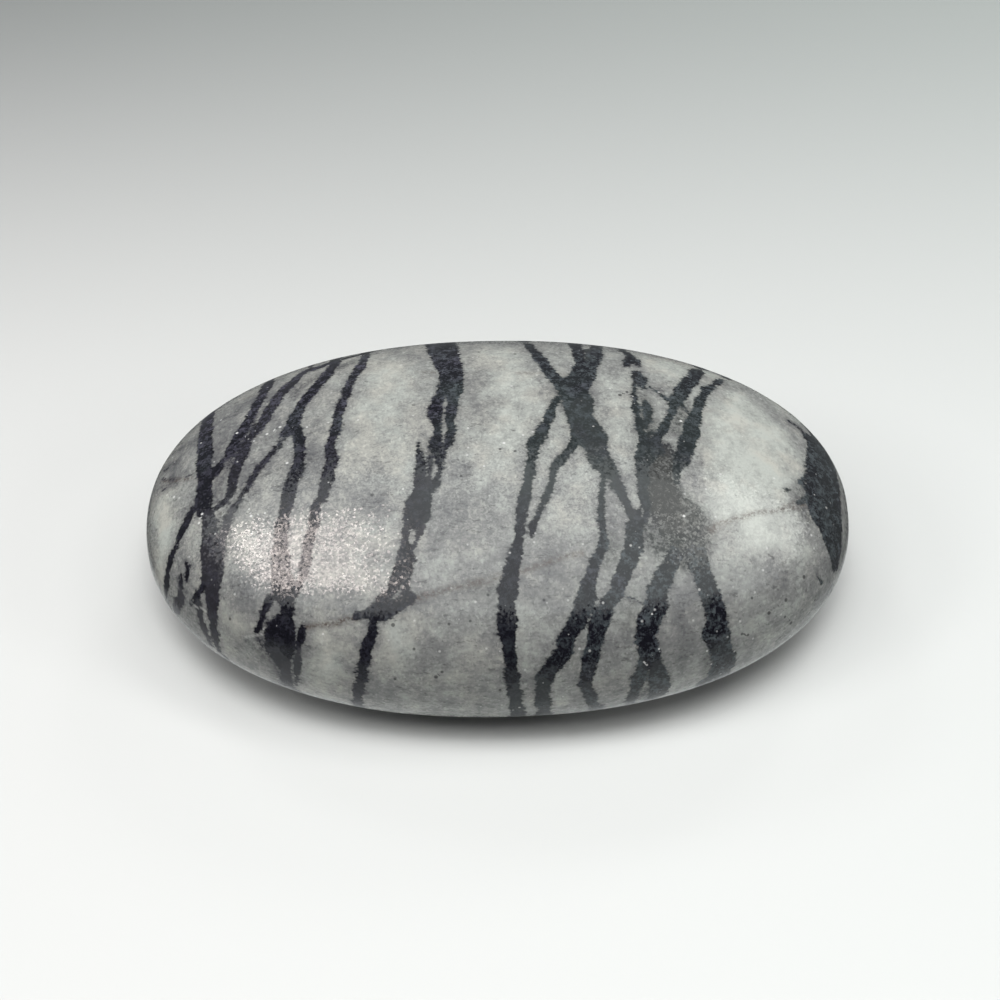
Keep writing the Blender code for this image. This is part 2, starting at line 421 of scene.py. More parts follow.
# ---------------------------------------------------------------------------------------------
# Veins on the side that the photo hides: the seen ones run on round the back and underneath and
# meet again. Each has its ink, and rows of x in mm, degrees round the long axis and width in mm.
HIDDEN_VEINS = {
    "round_trunk": (0.96, (
        (-22.9, 107, 0.5), (-22.5, 125, 0.9), (-22.9, 150, 1.4), (-23.5, 172, 1.7), (-22.9, 198, 1.5),
        (-23.7, 225, 1.2), (-24.4, 255, 1.1), (-24.3, 285, 1.1), (-24.7, 312, 0.9),
    )),
    "round_outer": (0.95, ((-27.7, 100, 0.3), (-27.4, 120, 0.5), (-26.6, 143, 0.7), (-23.6, 180, 0.8))),
    "round_a": (1.0, (
        (-17.0, 112, 0.9), (-16.6, 128, 1.1), (-17.5, 150, 1.4), (-18.7, 175, 1.1), (-18.1, 200, 0.9),
        (-19.1, 230, 1.1), (-20.0, 262, 1.2), (-19.6, 290, 0.9), (-19.6, 316, 0.9),
    )),
    "round_b": (0.95, ((-15.9, 317, 0.5), (-16.2, 298, 0.7), (-18.3, 257, 0.9), (-19.0, 238, 0.8))),
    "round_c": (1.0, (
        (-13.8, 315, 0.9), (-13.3, 290, 1.1), (-12.7, 265, 1.3), (-13.7, 240, 1.1), (-13.1, 215, 1.4),
        (-12.3, 190, 1.2), (-12.7, 165, 1.0), (-12.1, 140, 0.9), (-11.9, 111, 0.8),
    )),
    "round_d": (0.95, ((-11.2, 314, 0.8), (-11.5, 297, 0.7), (-12.5, 280, 0.8), (-12.9, 262, 0.9))),
    "round_great": (1.0, (
        (-4.5, 309, 2.4), (-5.5, 270, 1.9), (-4.9, 250, 2.4), (-5.7, 228, 1.9), (-7.2, 205, 1.4),
        (-8.6, 185, 1.3), (-10.2, 165, 1.3), (-11.1, 145, 1.0), (-11.8, 118, 0.9),
    )),
    "round_great_west": (0.92, (
        (-5.8, 232, 0.8), (-7.4, 240, 0.5), (-9.2, 250, 0.7), (-10.8, 262, 0.6), (-12.6, 268, 0.5),
    )),
    "round_great_low": (0.9, ((-8.4, 187, 0.7), (-7.2, 172, 0.5), (-6.4, 156, 0.6), (-5.9, 140, 0.3))),
    "round_middle": (1.0, (
        (2.7, 309, 0.9), (1.9, 290, 1.0), (1.3, 270, 1.1), (-0.3, 220, 1.7), (1.0, 170, 1.4),
        (0.8, 145, 1.4), (1.2, 108, 1.3),
    )),
    "round_string": (1.0, (
        (7.1, 311, 1.2), (6.3, 272, 1.7), (5.1, 250, 2.0), (4.7, 228, 1.6), (3.9, 205, 1.3),
        (3.5, 180, 1.1), (2.9, 150, 1.3), (3.3, 108, 1.3),
    )),
    "round_string_east": (0.97, (
        (9.0, 311, 1.1), (9.3, 292, 0.9), (8.4, 274, 0.9), (7.1, 258, 1.1), (5.4, 246, 1.1),
    )),
    "round_string_web": (0.85, ((4.9, 226, 0.9), (6.3, 216, 0.5), (7.6, 206, 0.6), (8.7, 196, 0.4))),
    "round_head": (0.97, (
        (11.1, 314, 0.6), (12.2, 275, 0.9), (10.0, 230, 1.1), (8.1, 185, 1.3), (7.7, 160, 1.1),
        (7.3, 135, 1.0), (7.6, 107, 1.0),
    )),
    "round_back_a": (1.0, (
        (18.0, 310, 1.3), (17.6, 290, 1.4), (16.3, 270, 1.7), (15.3, 248, 1.9), (13.7, 225, 1.7),
        (12.9, 200, 1.5), (12.7, 175, 1.3), (11.9, 150, 1.2), (12.4, 111, 1.1),
    )),
    "round_fork": (0.95, ((12.6, 178, 1.0), (11.3, 155, 0.9), (10.3, 103, 0.7))),
    "round_back_b": (1.0, (
        (20.2, 312, 0.8), (20.7, 290, 1.0), (19.9, 268, 1.3), (19.1, 245, 1.4), (18.1, 220, 1.9),
        (17.6, 195, 2.1), (18.0, 170, 2.3), (17.2, 145, 2.1), (17.1, 109, 2.2),
    )),
    "round_back_link": (0.9, ((16.4, 271, 0.7), (17.7, 263, 0.5), (19.6, 256, 0.6))),
    "round_end": (0.95, (
        (27.6, 320, 1.4), (26.8, 295, 1.7), (25.5, 270, 1.6), (24.8, 245, 1.3), (26.4, 195, 0.9),
        (27.0, 165, 0.8), (27.9, 101, 0.4),
    )),
    "round_end_spur": (0.9, ((24.9, 243, 0.9), (23.5, 228, 0.6), (22.4, 212, 0.5), (21.7, 196, 0.3))),
}

# Smoke and stained hairlines on the hidden side, with rows as above.
HIDDEN_SMOKE = {
    "round_left_smoke": (0.65, ((-19.4, 262, 1.8), (-18.8, 240, 2.4), (-18.5, 218, 1.6))),
    "round_great_smoke": (0.50, ((-6.6, 244, 2.2), (-7.4, 228, 2.6), (-8.2, 208, 1.8))),
    "round_string_smoke": (0.62, ((7.4, 276, 1.8), (6.4, 255, 2.8), (6.2, 232, 2.4), (6.8, 212, 1.6))),
    "round_back_smoke": (0.75, (
        (15.9, 256, 2.4), (15.4, 236, 3.6), (15.2, 212, 3.8), (15.3, 188, 2.8),
    )),
    "round_end_smoke": (0.45, ((24.0, 268, 1.8), (23.6, 244, 2.4), (24.0, 222, 1.8))),
}
HIDDEN_STAINS = {
    "round_stain_left": (0.7, ((-12.9, 222, 0.3), (-10.6, 214, 0.4), (-8.2, 216, 0.3), (-6.6, 212, 0.3))),
    "round_stain_middle": (0.6, ((-0.2, 205, 0.3), (1.8, 200, 0.4), (3.8, 203, 0.3))),
    "round_stain_right": (0.7, ((18.4, 232, 0.3), (20.3, 226, 0.4), (22.4, 230, 0.3), (24.6, 227, 0.4))),
}


# ---------------------------------------------------------------------------------------------
# The pebble's surface as a function of direction.
def reach_of(unit):
    """How far points lie out from the middle, as a share of the way to the surface, to a power."""
    size = np.abs(unit)
    plan = size[:, 0] ** PLAN_EXPONENT + size[:, 1] ** PLAN_EXPONENT
    return plan ** (SIDE_EXPONENT / PLAN_EXPONENT) + size[:, 2] ** SIDE_EXPONENT


def worn(unit):
    """How much the surface is worn in at each point, as a share of its size: shallow waves."""
    wear = np.zeros(len(unit))
    for direction, count, start in WEAR_WAVES:
        wear += 1 + np.sin(unit @ np.array(direction) * count + start)
    return wear / len(WEAR_WAVES) / 2 * WEAR_DEPTH


def pebble_points(directions):
    """Points of the surface that lie out along unit directions from the middle, one per row."""
    unit = directions / (reach_of(directions) ** (1 / SIDE_EXPONENT))[:, None]
    unit *= 1 - worn(unit)[:, None]
    unit[:, 1] *= 1 + END_TAPER * unit[:, 0]
    unit[:, 0] *= 1 + SIDE_TAPER * unit[:, 1]
    points = unit * HALF_SIZE
    points[:, 2] = np.maximum(points[:, 2] + MIDDLE_HEIGHT, 0)
    return points


def round_points(rows):
    """Surface points and widths for rows of x in mm, degrees round the long axis and width in mm.

    The angle is 0 on top, 90 at the front, 180 underneath and 270 at the back.
    """
    along = rows[:, 0] * MM / HALF_SIZE[0]
    turn = np.radians(rows[:, 1])
    low = np.zeros(len(rows))
    high = np.full(len(rows), FARTHEST)
    for _ in range(HALVINGS):
        middle = (low + high) / 2
        unit = np.column_stack([along, -middle * np.sin(turn), middle * np.cos(turn)])
        inside = reach_of(unit) < 1
        low = np.where(inside, middle, low)
        high = np.where(inside, high, middle)
    return np.column_stack([pebble_points(unit), rows[:, 2] * MM])


def make_pebble():
    """The stone's fine mesh: a box cut into small quads and rounded to the pebble's form."""
    shape = bmesh.new()
    bmesh.ops.create_cube(shape, size=2)
    for axis, count in enumerate(QUADS_ALONG):
        along = [edge for edge in shape.edges if runs_along(edge, axis)]
        bmesh.ops.subdivide_edges(shape, edges=along, cuts=count - 1, use_grid_fill=True)
    mesh = bpy.data.meshes.new("jasper_stone")
    shape.to_mesh(mesh)
    shape.free()
    spread = np.tan(vertex_points(mesh) * math.pi / 4)
    outward = spread / np.linalg.norm(spread, axis=1)[:, None]
    lean = outward @ np.array(NEAR_SIDE)
    reach = np.sqrt(lean ** 2 + 1 - np.dot(NEAR_SIDE, NEAR_SIDE)) - lean
    mesh.vertices.foreach_set("co", pebble_points(NEAR_SIDE + outward * reach[:, None]).ravel())
    mesh.update()
    mesh.shade_smooth()
    stone = bpy.data.objects.new("jasper_stone", mesh)
    bpy.context.collection.objects.link(stone)
    return stone


def runs_along(edge, axis):
    """Whether an edge of the box runs along one axis."""
    run = edge.verts[1].co - edge.verts[0].co
    return abs(run[axis]) > 0.5 * run.length


def vertex_points(mesh):
    """The mesh's vertex positions, one per row."""
    flat = np.empty(len(mesh.vertices) * 3)
    mesh.vertices.foreach_get("co", flat)
    return flat.reshape(-1, 3)


# ---------------------------------------------------------------------------------------------
# Camera
def camera_axes():
    """Where the camera stands and its right, up and forward directions."""
    turn = CAMERA_TURN
    across = np.array([math.cos(turn), -math.sin(turn), 0])
    inward = np.array([math.sin(turn), math.cos(turn), 0])
    back = np.array([0, 0, math.sin(CAMERA_ELEVATION)]) - inward * math.cos(CAMERA_ELEVATION)
    centre = np.array([0, 0, MIDDLE_HEIGHT])
    place = centre + back * DISTANCE
    shift = (np.array(STONE_CENTRE_PIXEL) - FRAME_PIXELS / 2) / FOCAL_PIXELS * DISTANCE
    up = np.cross(across, -back)
    aim = centre - across * shift[0] + up * shift[1]
    forward = (aim - place) / np.linalg.norm(aim - place)
    right = np.cross(forward, (0, 0, 1))
    right /= np.linalg.norm(right)
    return place, right, np.cross(right, forward), forward


def make_camera():
    """The camera at the photo's viewing angle."""
    place, right, up, forward = camera_axes()
    data = bpy.data.cameras.new("camera")
    data.sensor_width = SENSOR_MM
    data.lens = SENSOR_MM * FOCAL_PIXELS / FRAME_PIXELS
    data.clip_start = CLIP_NEAR
    data.clip_end = CLIP_FAR
    camera = bpy.data.objects.new("camera", data)
    camera.location = place
    camera.rotation_euler = Vector(forward).to_track_quat("-Z", "Y").to_euler()
    bpy.context.collection.objects.link(camera)
    bpy.context.scene.camera = camera


# ---------------------------------------------------------------------------------------------
# Vein paths on the surface
REACH = 3.0             # mm round a stroke in which the depth is worked out
PATH_STEP = 5           # pixels, or degrees round the long axis
SHORTEST = 1e-12        # keeps a step of no length from dividing by zero
# How far the edges of the soft strokes fade each way, in mm.
SMOKE_FADE = 0.8
STAIN_FADE = 0.3
CLOUD_FADE = 1.8
NICK_FADE = 0.08


def smooth_path(given):
    """Points about one step apart on a smooth curve through the given rows."""
    rows = np.array(given, float)
    padded = np.vstack([2 * rows[0] - rows[1], rows, 2 * rows[-1] - rows[-2]])
    path = []
    for before, start, end, after in zip(padded, padded[1:], padded[2:], padded[3:]):
        count = max(1, round(np.linalg.norm((end - start)[:2]) / PATH_STEP))
        for share in np.arange(count) / count:
            bend = (2 * start, end - before, 2 * before - 5 * start + 4 * end - after,
                    3 * (start - end) + after - before)
            path.append(sum(term * share ** power for power, term in enumerate(bend)) / 2)
    path.append(rows[-1])
    return np.array(path)


def cast(tree, pixels):
    """Surface point and distance from the camera for each pixel, where it meets the stone."""
    place, right, up, forward = camera_axes()
    hits = []
    for row in pixels:
        across, down = (row[:2] - FRAME_PIXELS / 2) / FOCAL_PIXELS
        ray = forward + right * across - up * down
        point, _, _, distance = tree.ray_cast(Vector(place), Vector(ray).normalized())
        if point is not None:
            hits.append((*point, row[2] * distance / FOCAL_PIXELS))
    return np.array(hits)


def depth_in(points, path):
    """How deep each point lies inside a path, in mm: negative outside, and held at -REACH."""
    depth = np.full(len(points), -REACH)
    reach = (REACH + path[:, 3].max()) * MM
    near = np.all((points > path[:, :3].min(0) - reach) & (points < path[:, :3].max(0) + reach), axis=1)
    inner = points[near]
    best = depth[near]
    for start, end in zip(path, path[1:]):
        run = end[:3] - start[:3]
        share = np.clip((inner - start[:3]) @ run / max(run @ run, SHORTEST), 0, 1)
        away = np.linalg.norm(inner - start[:3] - share[:, None] * run, axis=1)
        half_width = (start[3] + (end[3] - start[3]) * share) / 2
        best = np.maximum(best, (half_width - away) / MM)
    depth[near] = best
    return depth


def deepest(points, strokes):
    """The depth inside the deepest of the strokes, and the strength of that stroke."""
    depth = np.full(len(points), -REACH)
    strength = np.zeros(len(points))
    for value, path in strokes:
        inside = depth_in(points, path)
        strength = np.where(inside > depth, value, strength)
        depth = np.maximum(depth, inside)
    return depth, strength


def soft(points, strokes, fade, join=np.maximum):
    """The strokes' strengths at each point, fading fade mm each way at their edges, and joined."""
    total = np.zeros(len(points))
    for value, path in strokes:
        share = np.clip(depth_in(points, path) / fade / 2 + 0.5, 0, 1)
        total = join(total, value * share ** 2 * (3 - 2 * share))
    return total


def traced(tree, strokes):
    """Each stroke's strength and its path on the surface."""
    return [(value, cast(tree, smooth_path(rows))) for value, rows in strokes.values()]


def placed(strokes):
    """The same for strokes that are given round the long axis."""
    return [(value, round_points(smooth_path(rows))) for value, rows in strokes.values()]


def store(mesh, name, values):
    """Keep one number per vertex for the material to read."""
    layer = mesh.attributes.new(name, "FLOAT", "POINT")
    layer.data.foreach_set("value", values.astype(np.float32))


def store_nearest(mesh, name, points, dots):
    """Keep the centre, in mm, and the radius of the dot that lies nearest to each vertex."""
    away = np.linalg.norm(points[:, None] - dots[None, :, :3], axis=2)
    nearest = dots[away.argmin(axis=1)] / MM
    centre = mesh.attributes.new(name, "FLOAT_VECTOR", "POINT")
    centre.data.foreach_set("vector", nearest[:, :3].astype(np.float32).ravel())
    store(mesh, name + "_radius", nearest[:, 3] / 2)


stone = make_pebble()
surface = vertex_points(stone.data)
polygons = [tuple(face.vertices) for face in stone.data.polygons]
tree = BVHTree.FromPolygons([tuple(p) for p in surface], polygons)
veins = traced(tree, SEEN_VEINS) + placed(HIDDEN_VEINS)
vein_depth, vein_ink = deepest(surface, veins)
store(stone.data, "vein", vein_depth)
store(stone.data, "ink", vein_ink)
smoke = traced(tree, SEEN_SMOKE) + placed(HIDDEN_SMOKE)
store(stone.data, "smoke", soft(surface, smoke, SMOKE_FADE))
store(stone.data, "brown", soft(surface, traced(tree, SEEN_BROWN), SMOKE_FADE))
stains = traced(tree, SEEN_STAINS) + placed(HIDDEN_STAINS)
store(stone.data, "stain", soft(surface, stains, STAIN_FADE))
# The clouds of pale and grey, some of them painted light.
store(stone.data, "cloud_and_painted_light", soft(surface, traced(tree, SEEN_CLOUDS_AND_PAINTED_LIGHT), CLOUD_FADE, np.add))
store(stone.data, "nick", soft(surface, traced(tree, SEEN_NICKS), NICK_FADE))
store_nearest(stone.data, "speck", surface, cast(tree, np.array(SEEN_SPECKS, float)))
store_nearest(stone.data, "painted_glint", surface, cast(tree, np.array(SEEN_PAINTED_GLINTS, float)))


# ---------------------------------------------------------------------------------------------
# Material. Sizes are in mm. A noise has its size, detail and roughness, and a wave has its size,
# swing, detail and roughness. The other rows of two or four numbers are ramps: low, high, start
# and end carry a value from low to high over to start to end, and without the last two it goes
# from 0 to 1. A pair of colours, if no more is said, is for the left side, which is more violet,
# and the right side, which is more green.
SIDE_RAMP = (-14.0, 4.0)                    # over X, from the left to the right
SIDE_WAVE = (4.0, 1.2)
GRAIN_SIZE = 0.17
# Scales along X, Y and Z that draw the noise out.
STRETCHED = (1.0, 0.65, 1.0)
LYING = (0.45, 0.65, 1.0)
HAIRS = (0.72, 1.2, 1.2)
DASHES = (0.45, 1.5, 1.5)

# The pale ground's tone, which goes from 0 for dark to over 1 for pale.
PATCH_WAVE = (5.0, 0.36, 2.0, 0.6)
MOTTLE_WAVE = (1.5, 0.47, 2.0, 0.55)
FINE_WAVE = (0.30, 0.26, 1.0, 0.5)
SALT_SIZE = 0.13
SALT_FRONT = (-14.0, -9.0, 0.17, 0.36)      # over Y
SALT_BACK = (-4.0, 3.0, 1.0, 0.75)          # over Y
SALT_RIGHT = (10.0, 15.0, 1.0, 0.6)         # over X
SUGAR_SIZE = 0.20
PALE_SUGAR = (0.75, 1.0, 0.0, 0.20)         # over the grains' random number
DARK_SUGAR = (0.0, 0.15, -0.14, 0.0)
BASE_TONE = (-5.0, 5.0, 0.64, 0.70)         # over Y
DARK_TONES = (0.0, 0.5)
PALE_TONES = (0.5, 1.38)
DARK_GROUND = ((0.13, 0.133, 0.140, 1), (0.245, 0.248, 0.243, 1))      # darker, lighter
PALE_GROUND = ((0.575, 0.602, 0.555, 1), (0.605, 0.602, 0.542, 1))     # cooler, warmer
WARM_NOISE = (3.0, 2.0, 0.6)
WARM_PER_SIDE = -0.14
WARM_RAMP = (0.34, 0.54)
STREAK_NOISE = (0.6, 3.0, 0.75)
STREAK_PER_TONE = -0.15
STREAK_RAMP = (0.50, 0.58, 0.0, 0.5)
STREAK_COLOUR = (0.085, 0.085, 0.085, 1)

# Veins. A depth is in mm inside the edge.
EDGE_WAVE = (0.34, 0.36, 2.0, 0.6)
BEND_WAVE = (1.1, 0.34, 1.0, 0.5)
SWELL = 0.04                                # how much every vein is widened each way
INSIDE_RAMP = (-0.12, 0.12)
HALO_RAMP = (-0.55, 0.1, 0.0, 0.30)
INK_RAMP = (0.7, 1.0)
BLACK = (0.008, 0.008, 0.013, 1)
MIDDLE_BLACK = (0.025, 0.031, 0.032, 1)
FADED_BLACKS = ((0.052, 0.050, 0.058, 1), (0.046, 0.052, 0.052, 1))
# Where the black of the middle shows.
MIDDLE_FRONT = (-10.5, -6.5)                # over Y
MIDDLE_BACK = (10.0, 5.0)                   # over Y
MIDDLE_SIDE = (0.0, 1.0)                    # over the side
MIDDLE_RIGHT = (24.0, 20.0)                 # over X
# Where the veins are flecked.
FLECKED_FRONT = (-11.0, -8.0, 1.0, 0.0)     # over Y
FLECKED_FRONT_SIDE = (0.0, 10.0, 0.1, 1.0)  # over X
FLECKED_BACK = (-4.0, 4.0, 0.3, 1.0)        # over Y
FLECKED_RIGHT = (20.0, 24.0)                # over X
FLECK_NOISE = (0.8, 3.0, 0.7)
FLECK_PER_GRAIN = 0.22
FLECK_RAMP = (0.56, 0.80)
FLECK_COLOURS = ((0.080, 0.078, 0.105, 1), (0.088, 0.104, 0.112, 1))

# Smoke and stains: how much they show in each grain of the web, and their colours.
WEB_WAVE = (0.40, 1.4, 2.0, 0.7)
WEB_PER_GRAIN = 0.7
SMOKE_WEB = (-0.4, 0.4, 0.5, 1.2)
HALO_WEB = (-0.3, 0.3, 0.2, 1.0)
BROWN_WEB = (-0.5, 0.5, 1.0, 0.6)
STAIN_WEB = (-0.4, 0.4, 0.3, 1.4)
SMOKE_COLOURS = ((0.040, 0.038, 0.050, 1), (0.038, 0.042, 0.041, 1))
BROWN_COLOUR = (0.066, 0.066, 0.063, 1)
STAIN_COLOUR = (0.108, 0.085, 0.074, 1)

# Dots at their places: the stored name, the ramp over the depth in a dot, and the colour.
PLACED_DOTS = (
    ("speck", (-0.05, 0.05, 0.0, 0.75), (0.035, 0.035, 0.038, 1)),
    # Painted glints: white dots in the base colour.
    ("painted_glint", (-0.04, 0.05, 0.0, 0.85), (0.85, 0.85, 0.83, 1)),
)
NICK_RAMP = (0.2, 0.8, 0.0, 0.6)
NICK_COLOUR = (0.60, 0.60, 0.57, 1)
# White sparks, which are painted glints, and dark specks scattered all over: the size of the cells
# that have one each, the ramps over the cell's random number, for the radius, and over the depth in
# the dot, both in cells, and the colour.
SCATTERED_DOTS = (
    # Painted glints: white dots in the base colour, scattered.
    (0.9, (0.55, 1.0, 0.02, 0.13), (-0.04, 0.05, 0.0, 0.60), (0.80, 0.80, 0.78, 1)),
    (2.2, (0.6, 1.0, 0.0, 0.06), (-0.02, 0.03, 0.0, 0.7), (0.04, 0.04, 0.04, 1)),
)

# Polish
ROUGHNESS_RAMP = (0.3, 1.0, 0.08, 0.24)     # over the grains' random number
TILT = 0.10                                 # how far the crystal grains lean, in all


class Graph:
    """Short names for the shader nodes that the material is made of."""

    def __init__(self, tree):
        self.tree = tree

    def add(self, kind, inputs=(), **settings):
        """A new node of one kind, with its inputs and settings."""
        made = self.tree.nodes.new(kind)
        for name, value in settings.items():
            setattr(made, name, value)
        for name, value in dict(inputs).items():
            self.feed(made.inputs[name], value)
        return made

    def feed(self, socket, value):
        """Link a socket to another one, or set its own value."""
        if isinstance(value, bpy.types.NodeSocket):
            self.tree.links.new(value, socket)
        else:
            socket.default_value = value

    def math(self, operation, first, second=0.0, third=0.0):
        """One operation on up to three numbers."""
        made = self.add("ShaderNodeMath", operation=operation)
        for socket, value in zip(made.inputs, (first, second, third)):
            self.feed(socket, value)
        return made.outputs[0]

    def joined(self, operation, first, *others):
        """All the values, taken two by two through one operation."""
        for other in others:
            first = self.math(operation, first, other)
        return first

    def scaled(self, vector, scale):
        """The vector, scaled along X, Y and Z."""
        return self.add("ShaderNodeMapping", {"Vector": vector, "Scale": scale}).outputs[0]

    def noise(self, vector, size, detail, roughness):
        """Noise whose lumps are about size mm apart."""
        inputs = {"Vector": vector, "Scale": 1 / size, "Detail": detail, "Roughness": roughness}
        return self.add("ShaderNodeTexNoise", inputs).outputs[0]

    def wave(self, vector, size, swing, detail=2.0, roughness=0.5):
        """Noise about zero, swinging by about a quarter of swing each way."""
        made = self.noise(vector, size, detail, roughness)
        return self.math("MULTIPLY_ADD", made, 2 * swing, -swing)

    def cells(self, vector, size):
        """Grains about size mm across: a random colour for each, and the distance to its seed."""
        inputs = {"Vector": vector, "Scale": 1 / size}
        made = self.add("ShaderNodeTexVoronoi", inputs)
        return made.outputs["Color"], made.outputs["Distance"]

    def channels(self, colour):
        """The three parts of a colour."""
        return self.add("ShaderNodeSeparateColor", {"Color": colour}).outputs

    def fit(self, value, low, high, start=0.0, end=1.0, smooth=False):
        """The value from low to high, carried over to start to end and held there."""
        inputs = {"Value": value, "From Min": low, "From Max": high, "To Min": start, "To Max": end}
        kind = "SMOOTHSTEP" if smooth else "LINEAR"
        return self.add("ShaderNodeMapRange", inputs, interpolation_type=kind).outputs[0]

    def mix(self, share, first, second):
        """Two colours mixed: the node takes them at its inputs 6 and 7 and gives its output 2."""
        made = self.add("ShaderNodeMix", data_type="RGBA")
        self.feed(made.inputs["Factor"], share)
        self.feed(made.inputs[6], first)
        self.feed(made.inputs[7], second)
        return made.outputs[2]

    def attribute(self, name):
        """The number stored on the mesh under a name."""
        return self.add("ShaderNodeAttribute", attribute_name=name).outputs["Fac"]

    def depth_in_dot(self, place, name):
        """How deep a place in mm lies inside the nearest of the stored dots."""
        centre = self.add("ShaderNodeAttribute", attribute_name=name).outputs["Vector"]
        away = self.add("ShaderNodeVectorMath", {0: place, 1: centre}, operation="DISTANCE")
        return self.math("SUBTRACT", self.attribute(name + "_radius"), away.outputs["Value"])


def ground_colour(graph, place, along, side):
    """Pale ground: clouds of pale and grey, some of them painted light, crystal mottle, sugary
    grains and short dark streaks.
    """
    stretched = graph.scaled(place, STRETCHED)
    lying = graph.scaled(place, LYING)
    dashes = graph.scaled(place, DASHES)
    salt_colour, _ = graph.cells(place, SALT_SIZE)
    salt = graph.math("SUBTRACT", graph.channels(salt_colour)[0], 0.5)
    saltiness = graph.joined(
        "MULTIPLY",
        graph.fit(along[1], *SALT_FRONT),
        graph.fit(along[1], *SALT_BACK),
        graph.fit(along[0], *SALT_RIGHT),
    )
    sugar_colour, _ = graph.cells(stretched, SUGAR_SIZE)
    sugar = graph.channels(sugar_colour)[1]
    tone = graph.joined(
        "ADD",
        graph.attribute("cloud_and_painted_light"),
        graph.wave(stretched, *PATCH_WAVE),
        graph.wave(stretched, *MOTTLE_WAVE),
        graph.wave(lying, *FINE_WAVE),
        graph.math("MULTIPLY", salt, saltiness),
        graph.fit(sugar, *PALE_SUGAR),
        graph.fit(sugar, *DARK_SUGAR),
        graph.fit(along[1], *BASE_TONE),
    )
    dark = graph.mix(graph.fit(tone, *DARK_TONES), *DARK_GROUND)
    warmth = graph.math("MULTIPLY_ADD", side, WARM_PER_SIDE, graph.noise(place, *WARM_NOISE))
    pale = graph.mix(graph.fit(warmth, *WARM_RAMP), *PALE_GROUND)
    ground = graph.mix(graph.fit(tone, *PALE_TONES), dark, pale)
    streak = graph.math("MULTIPLY_ADD", tone, STREAK_PER_TONE, graph.noise(dashes, *STREAK_NOISE))
    return graph.mix(graph.fit(streak, *STREAK_RAMP), ground, STREAK_COLOUR)


def ragged_depth(graph, place):
    """The stored depth in the veins, roughened so that their edges are ragged."""
    return graph.joined(
        "ADD",
        graph.attribute("vein"),
        graph.wave(graph.scaled(place, HAIRS), *EDGE_WAVE),
        graph.wave(graph.scaled(place, STRETCHED), *BEND_WAVE),
        SWELL,
    )


def ink_colour(graph, place, along, side, grain):
    """Black or faded ink, flecked with grey grains at the back, the right end and in front."""
    faded = graph.mix(side, *FADED_BLACKS)
    middle = graph.joined(
        "MULTIPLY",
        graph.fit(along[1], *MIDDLE_FRONT),
        graph.fit(along[1], *MIDDLE_BACK),
        graph.fit(side, *MIDDLE_SIDE),
        graph.fit(along[0], *MIDDLE_RIGHT),
    )
    black = graph.mix(middle, BLACK, MIDDLE_BLACK)
    ink = graph.mix(graph.fit(graph.attribute("ink"), *INK_RAMP), faded, black)
    flecked_front = graph.math(
        "MULTIPLY",
        graph.fit(along[1], *FLECKED_FRONT),
        graph.fit(along[0], *FLECKED_FRONT_SIDE),
    )
    flecked = graph.joined(
        "MAXIMUM",
        flecked_front,
        graph.fit(along[1], *FLECKED_BACK),
        graph.fit(along[0], *FLECKED_RIGHT),
    )
    fleck = graph.math("MULTIPLY_ADD", grain, FLECK_PER_GRAIN, graph.noise(place, *FLECK_NOISE))
    fleck = graph.math("MULTIPLY", graph.fit(fleck, *FLECK_RAMP), flecked)
    return graph.mix(fleck, ink, graph.mix(side, *FLECK_COLOURS))


def smoked(graph, place, side, grain, halo, ground):
    """The ground with grey-violet smoke, brown parts and stains over it, in dark and pale grains."""
    web = graph.math("MULTIPLY_ADD", grain, WEB_PER_GRAIN, graph.wave(place, *WEB_WAVE))
    web = graph.math("SUBTRACT", web, WEB_PER_GRAIN / 2)
    smoke = graph.math("MULTIPLY", graph.attribute("smoke"), graph.fit(web, *SMOKE_WEB))
    haze = graph.math("MAXIMUM", smoke, graph.math("MULTIPLY", halo, graph.fit(web, *HALO_WEB)))
    brown = graph.math("MULTIPLY", graph.attribute("brown"), graph.fit(web, *BROWN_WEB))
    smoke_colour = graph.mix(brown, graph.mix(side, *SMOKE_COLOURS), BROWN_COLOUR)
    colour = graph.mix(graph.math("MINIMUM", haze, 1.0), ground, smoke_colour)
    stain = graph.math("MULTIPLY", graph.attribute("stain"), graph.fit(web, *STAIN_WEB))
    return graph.mix(graph.math("MINIMUM", stain, 1.0), colour, STAIN_COLOUR)


def dotted(graph, place, colour):
    """The colour with small dark specks, white sparks that are painted glints, and pale nicks on it."""
    for name, ramp, dot_colour in PLACED_DOTS:
        dot = graph.fit(graph.depth_in_dot(place, name), *ramp, smooth=True)
        colour = graph.mix(dot, colour, dot_colour)
    colour = graph.mix(graph.fit(graph.attribute("nick"), *NICK_RAMP), colour, NICK_COLOUR)
    for size, radius_ramp, ramp, dot_colour in SCATTERED_DOTS:
        cell_colour, distance = graph.cells(place, size)
        radius = graph.fit(graph.channels(cell_colour)[1], *radius_ramp)
        dot = graph.fit(graph.math("SUBTRACT", radius, distance), *ramp)
        colour = graph.mix(dot, colour, dot_colour)
    return colour


def tilted_normal(graph, grain_colour):
    """The surface's normal, tilted a little in each grain."""
    tilt = graph.add(
        "ShaderNodeVectorMath",
        {0: grain_colour, 1: (TILT, TILT, TILT), 2: (-TILT / 2, -TILT / 2, -TILT / 2)},
        operation="MULTIPLY_ADD",
    ).outputs[0]
    normal = graph.add("ShaderNodeNewGeometry").outputs["Normal"]
    tilted = graph.add("ShaderNodeVectorMath", {0: normal, 1: tilt}, operation="ADD").outputs[0]
    return graph.add("ShaderNodeVectorMath", {0: tilted}, operation="NORMALIZE").outputs[0]


